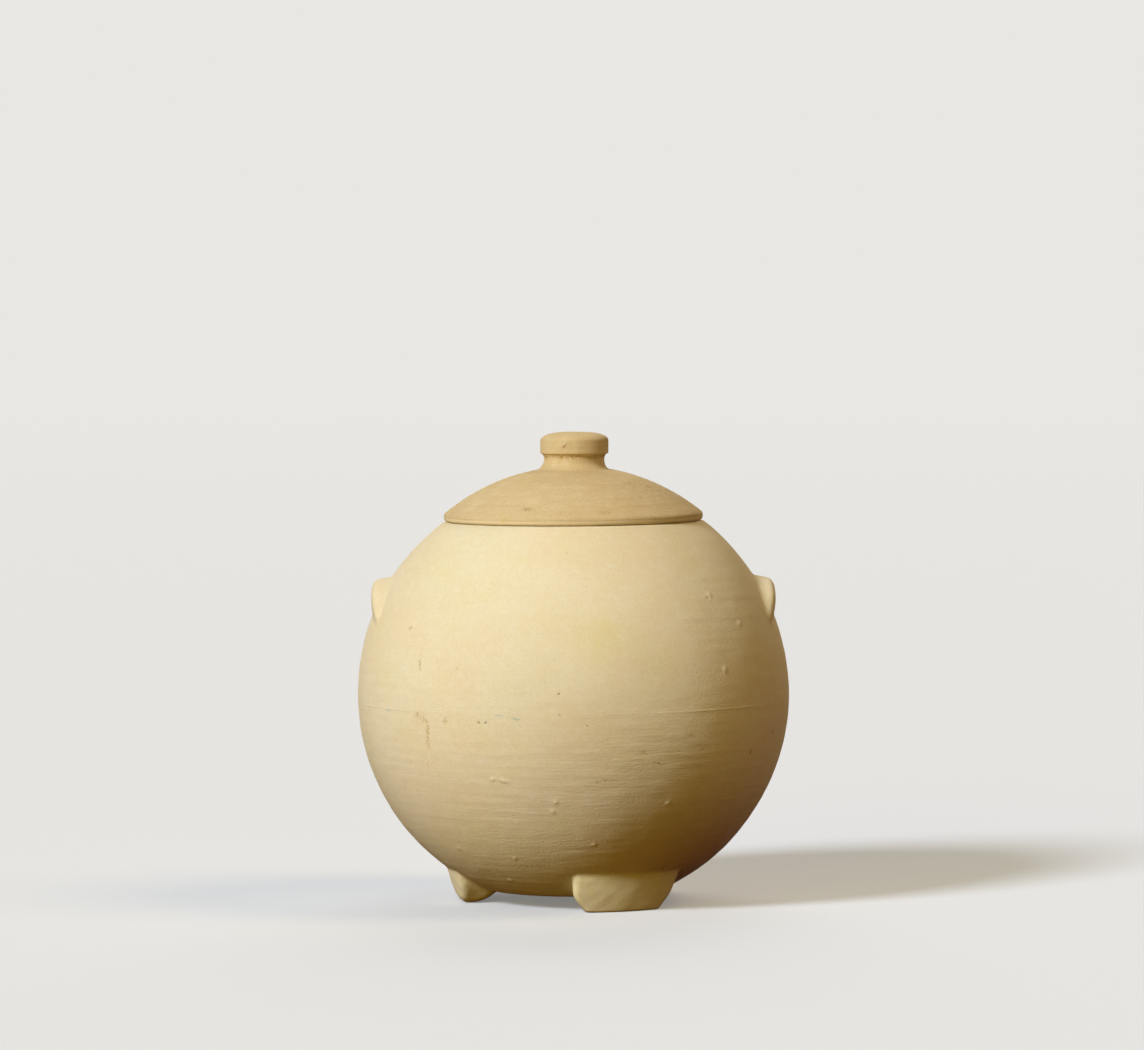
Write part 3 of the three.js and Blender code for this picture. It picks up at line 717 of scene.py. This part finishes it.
# The lid's dome: a cap of a ball, tangent to a rounded edge that is squarer in its lower quarter and ends
# on a level rest. A fine groove runs round the edge; below it the band's pale colour is painted light.
# Hollow below.
def lidDome():
    azimuth = azimuthRow(lid["columns"])
    lidRadius, rest = lidBox[1].x, lidBox[0].z
    edgeRadius, edgeHeight = lidRadius - lid["edge"], rest + lid["edge"]
    domeHeight = edgeHeight - math.sqrt((lid["dome"] - lid["edge"]) ** 2 - edgeRadius**2)
    edgeAngle = math.degrees(math.atan2(edgeHeight - domeHeight, edgeRadius))
    hollow = lid["dome"] - lid["wall"]
    restInner = flangeBox[1].x + lid["slipGap"]
    underAngle = math.degrees(math.acos(restInner / hollow))
    under = profileArc(0, domeHeight, hollow, lid["nearPole"], underAngle, lid["underRows"])
    restRow = [[restInner, rest], [(restInner + edgeRadius) / 2, rest]]
    quarter = np.linspace(0, math.pi / 2, lid["lowEdgeRows"])[:-1]
    square = 2 / lid["edgePower"]
    lowEdge = np.stack([edgeRadius + lid["edge"] * np.sin(quarter) ** square,
                        edgeHeight - lid["edge"] * np.cos(quarter) ** square], -1)
    highEdge = profileArc(edgeRadius, edgeHeight, lid["edge"], 0, edgeAngle, lid["highEdgeRows"])
    top = profileArc(0, domeHeight, lid["dome"], edgeAngle, lid["nearPole"], lid["domeRows"])[1:]
    profile = np.vstack([under, restRow, lowEdge, highEdge, top])
    points = carriedRound(profile, azimuth)
    outward = points - domeHeight * upward
    outward /= np.linalg.norm(outward, axis=-1, keepdims=True)
    climb = points[..., 2] - rest
    outside = (np.arange(len(profile)) >= len(under) + len(restRow))[:, None]
    rings = np.sin(turn * lid["dome"] * np.arccos(outward[..., 2]) / lid["ringSpacing"] + azimuth)
    rise = lumps(points, *lid["lump"]) + lumps(points, *lid["dent"]) + lid["ring"] * rings
    groove = lid["groove"] * np.exp(-(((climb - lid["grooveHeight"]) / lid["grooveWidth"]) ** 2))
    rise = rise * ease(climb, 0, lid["edge"]) - groove
    points = points + outward * (rise * outside)[..., None]
    stains = {name + "Stain": lidStain(points, marks) for name, marks in lid["marks"].items()}
    # Painted light: the band from the groove down to the rest is made pale, as if lit
    rubbed = ease(climb, lid["grooveHeight"], lid["paintedLitBandFull"] * lid["grooveHeight"])
    stains["rubbedStain"] = lid["rubbed"] * rubbed * outside
    poles = [[0, 0, domeHeight + hollow], [0, 0, domeHeight + lid["dome"]]]
    makePiece("lidDome", leaned(points), "lid_dome", lidClay, poles, stains)


# Walls end inside the dome's clay, the outer one further down, as the dome slopes
flange = dict(wall=6 * mm, bend=1.2 * mm, bendRows=6, straight=3 * mm, outerEnd=4 * mm, innerEnd=1 * mm)


# Ring under the lid that keeps it in the mouth: straight walls with rounded lower edges
def lidFlange():
    azimuth = azimuthRow(lid["columns"])
    outer, low, high = flangeBox[1].x, flangeBox[0].z, flangeBox[1].z
    inner, bend, rows = outer - flange["wall"], flange["bend"], flange["bendRows"]
    straight = low + flange["straight"]
    profile = np.vstack([
        profileArc(outer - bend, low + bend, bend, -90, 0, rows),
        [[outer, straight], [outer, high - flange["outerEnd"]]],
        [[inner, high - flange["innerEnd"]], [inner, straight]],
        profileArc(inner + bend, low + bend, bend, 180, 270, rows)])
    makePiece("lidFlange", leaned(carriedRound(profile, azimuth)), "lid_flange", lidClay)


# Lump and the ochre's change as height, length and seed; arcs as start, end and rows; angles in degrees,
# but the crown's arc and the out-of-round turn in radians; fades as the heights over which the surface
# waves come in above the foot and go out at the top
knob = dict(
    neck=20.3 * mm, neckHeight=10.6 * mm, neckFrom=260, waist=7 * mm, flare=8.2 * mm, cap=23 * mm,
    slant=1.9 * mm, crown=5.8 * mm, crownPower=3.2, crownArc=(0.04, math.pi / 2 - 0.01, 30),
    lip=1 * mm, lipArc=(-70, 0, 7), slantEnd=1.4 * mm, sideFrom=2 * mm, root=4 * mm, rootShare=0.5,
    skirt=30 * mm, skirtEdge=2 * mm, skirtSink=1.2 * mm, aside=0.65 * mm, outOfRound=0.15 * mm,
    outOfRoundTurn=1, lump=(0.07 * mm, 20 * mm, 23),
    footFade=3 * mm, topFade=(-1 * mm, 0.3 * mm), columns=320, neckRows=24, slantRows=6, sideRows=20,
    ochre=0.75, ochreBand=1.5 * mm, ochreMean=0.6, ochreChange=(0.4, 7 * mm, 24),
    nick=dict(azimuth=-108.5, height=309.6 * mm, length=4 * mm, width=1.7 * mm, tilt=45, rise=1 * mm))


# Knob: a skirt that flares out of the dome, a waisted neck, and a disc cap with a slanted underside, a
# rounded shoulder and a low crown. It sits a little to one side. Ochre gathers in patches under the cap.
def lidKnob():
    azimuth = azimuthRow(knob["columns"])
    foot, top = knobBox[0].z, knobBox[1].z
    rootHeight, waistHeight = foot - knob["root"], foot + knob["waist"]
    capLow = foot + knob["neckHeight"]
    slantLow = capLow - knob["slant"]
    neckTurn = 180 - math.degrees(math.asin((slantLow - waistHeight) / knob["flare"]))
    neck = profileArc(knob["neck"] + knob["flare"], waistHeight, knob["flare"], knob["neckFrom"], neckTurn,
                      knob["neckRows"])
    slant = np.linspace(neck[-1], [knob["cap"] - knob["slantEnd"], capLow], knob["slantRows"])[1:]
    lip = profileArc(knob["cap"] - knob["lip"], capLow + knob["lip"], knob["lip"], *knob["lipArc"])
    crownHeight = top - knob["crown"]
    sideLow = capLow + knob["sideFrom"]
    side = np.linspace([knob["cap"], sideLow], [knob["cap"], crownHeight], knob["sideRows"])
    # Crown: a superellipse of a high power, so that it is flat in the middle and round at the side
    rise = np.sin(np.linspace(*knob["crownArc"]))
    crown = np.stack([knob["cap"] * (1 - rise**2) ** (1 / knob["crownPower"]),
                      top - knob["crown"] * (1 - rise)], -1)
    skirt = [[knob["rootShare"] * knob["neck"], rootHeight],
             [knob["skirt"] - knob["skirtEdge"], rootHeight],
             [knob["skirt"], waistHeight - knob["flare"] - knob["skirtSink"]]]
    points = carriedRound(np.vstack([skirt, neck, slant, lip, side, crown]), azimuth)
    height = points[..., 2]
    outward = points - (capLow + top) / 2 * upward
    outward /= np.linalg.norm(outward, axis=-1, keepdims=True)
    nick = knob["nick"]
    level = angleFrom(azimuth, nick["azimuth"]) * knob["cap"]
    along, across = tiltedBy(nick["tilt"], level, height - nick["height"])
    rise = (lumps(points, *knob["lump"]) + knob["outOfRound"] * np.cos(2 * azimuth + knob["outOfRoundTurn"])
            + nick["rise"] * bell(along, nick["length"], across, nick["width"]))
    rise = rise * ease(height, foot, foot + knob["footFade"]) * ease(top - height, *knob["topFade"])
    patches = knob["ochreMean"] + lumps(points, *knob["ochreChange"])
    ochre = knob["ochre"] * patches * np.exp(-(((height - slantLow) / knob["ochreBand"]) ** 2))
    aside = knob["aside"] * ease(height, foot, waistHeight)
    points = points + outward * rise[..., None] + aside[..., None] * sideways
    poles = [[0, 0, rootHeight], [knob["aside"], 0, top]]
    makePiece("lidKnob", leaned(points), "lid_knob", lidClay, poles, {"ochreStain": ochre.clip(0, 1)})


lidDome()
lidFlange()
lidKnob()
print("lid made")


# Lamps as azimuth, elevation and width in degrees, strength on a surface that faces them, and colour; the
# floor's reach and fade in metres
studio = dict(
    backdrop="#e9e7e3", paper="#d2dcec", glow=0.25, bounce="#5c3418", room="#0e0e10",
    floorReach=60.0, floorDrop=0.05 * mm, fadeFrom=1.5, fadeTo=14.0,
    lamps=dict(softKey=(-135, 31.5, 14, 0.875, "#fffefd"), frontFill=(-116, 6, 40, 0.375, "#ffdc50"),
               rightFill=(-7, 45, 28, 0.285, "#ffdca2"), backFill=(85, 35, 50, 0.34, "#fff0d8")))


# 1 for what the camera sees, also in or through something shiny or clear, and 0 for light on the jar
def seenShare(tree):
    path = addNode(tree, "ShaderNodeLightPath")
    seen = path.outputs["Is Camera Ray"]
    for ray in ("Is Glossy Ray", "Is Transmission Ray"):
        inputs = {0: seen, 1: path.outputs[ray]}
        seen = addNode(tree, "ShaderNodeMath", inputs, operation="MAXIMUM").outputs[0]
    return seen


# Wide floor of matt pale paper, a little blue to balance the warm lamps; it throws dim brown on the jar
def studioFloor():
    half, low = studio["floorReach"], -studio["floorDrop"]
    corners = [(-half, -half, low), (half, -half, low), (half, half, low), (-half, half, low)]
    mesh = bpy.data.meshes.new("floor")
    mesh.from_pydata(corners, [], [(0, 1, 2, 3)])
    finish = bpy.data.materials.new("mattPaperFloor")
    finish.use_nodes = True
    tree = finish.node_tree
    tree.nodes.remove(tree.nodes["Principled BSDF"])
    backdrop = linear(studio["backdrop"])
    pale = addNode(tree, "ShaderNodeBsdfDiffuse", {"Color": linear(studio["paper"])}).outputs[0]
    glow = addNode(tree, "ShaderNodeEmission", {"Color": backdrop, "Strength": studio["glow"]}).outputs[0]
    near = addNode(tree, "ShaderNodeAddShader", {0: pale, 1: glow}).outputs[0]
    # Far off, the floor turns into the background's own colour, so that no horizon shows
    place = addNode(tree, "ShaderNodeTexCoord").outputs["Object"]
    away = addNode(tree, "ShaderNodeVectorMath", {0: place}, operation="LENGTH").outputs["Value"]
    inputs = {"Value": away, "From Min": studio["fadeFrom"], "From Max": studio["fadeTo"]}
    fade = addNode(tree, "ShaderNodeMapRange", inputs, interpolation_type="SMOOTHSTEP").outputs["Result"]
    far = addNode(tree, "ShaderNodeEmission", {"Color": backdrop}).outputs[0]
    shown = addNode(tree, "ShaderNodeMixShader", {0: fade, 1: near, 2: far}).outputs[0]
    thrown = addNode(tree, "ShaderNodeBsdfDiffuse", {"Color": linear(studio["bounce"])}).outputs[0]
    both = addNode(tree, "ShaderNodeMixShader", {0: seenShare(tree), 1: thrown, 2: shown}).outputs[0]
    tree.links.new(both, tree.nodes["Material Output"].inputs["Surface"])
    mesh.materials.append(finish)
    floor = bpy.data.objects.new("floor", mesh)
    bpy.context.scene.collection.objects.link(floor)


# White key light from the upper left, weak warm fills from front, right and back, and a nearly dark room
def studioLight():
    for name, (azimuth, elevation, width, strength, colour) in studio["lamps"].items():
        lamp = bpy.data.lights.new(name, "SUN")
        lamp.energy = strength * math.pi
        lamp.angle = math.radians(width)
        lamp.color = linear(colour)[:3]
        light = bpy.data.objects.new(name, lamp)
        direction = Vector(aimed(math.radians(elevation), math.radians(azimuth)))
        light.rotation_euler = direction.to_track_quat("Z", "Y").to_euler()
        bpy.context.scene.collection.objects.link(light)
    world = bpy.data.worlds.new("studio")
    world.use_nodes = True
    tree = world.node_tree
    inputs = {"Factor": seenShare(tree), "A": linear(studio["room"]), "B": linear(studio["backdrop"])}
    colour = addNode(tree, "ShaderNodeMix", inputs, data_type="RGBA").outputs["Result"]
    tree.links.new(colour, tree.nodes["Background"].inputs["Color"])
    bpy.context.scene.world = world


# Place and sight in metres, pitch in degrees, lens and sensor in millimetres
view = dict(distance=3.88, height=0.427, side=-0.0009, pitch=2.54, lens=180.25, sensor=36, sight=200)


# Long lens from a little above, as the jar was photographed
def photoCamera():
    data = bpy.data.cameras.new("photoCamera")
    data.lens = view["lens"]
    data.sensor_width = view["sensor"]
    data.clip_end = view["sight"]
    camera = bpy.data.objects.new("photoCamera", data)
    camera.location = (view["side"], -view["distance"], view["height"])
    camera.rotation_euler = (math.radians(90 - view["pitch"]), 0, 0)
    bpy.context.scene.collection.objects.link(camera)
    bpy.context.scene.camera = camera


studioFloor()
studioLight()
photoCamera()
bpy.context.scene.view_settings.view_transform = "Standard"
print("studio and camera made")
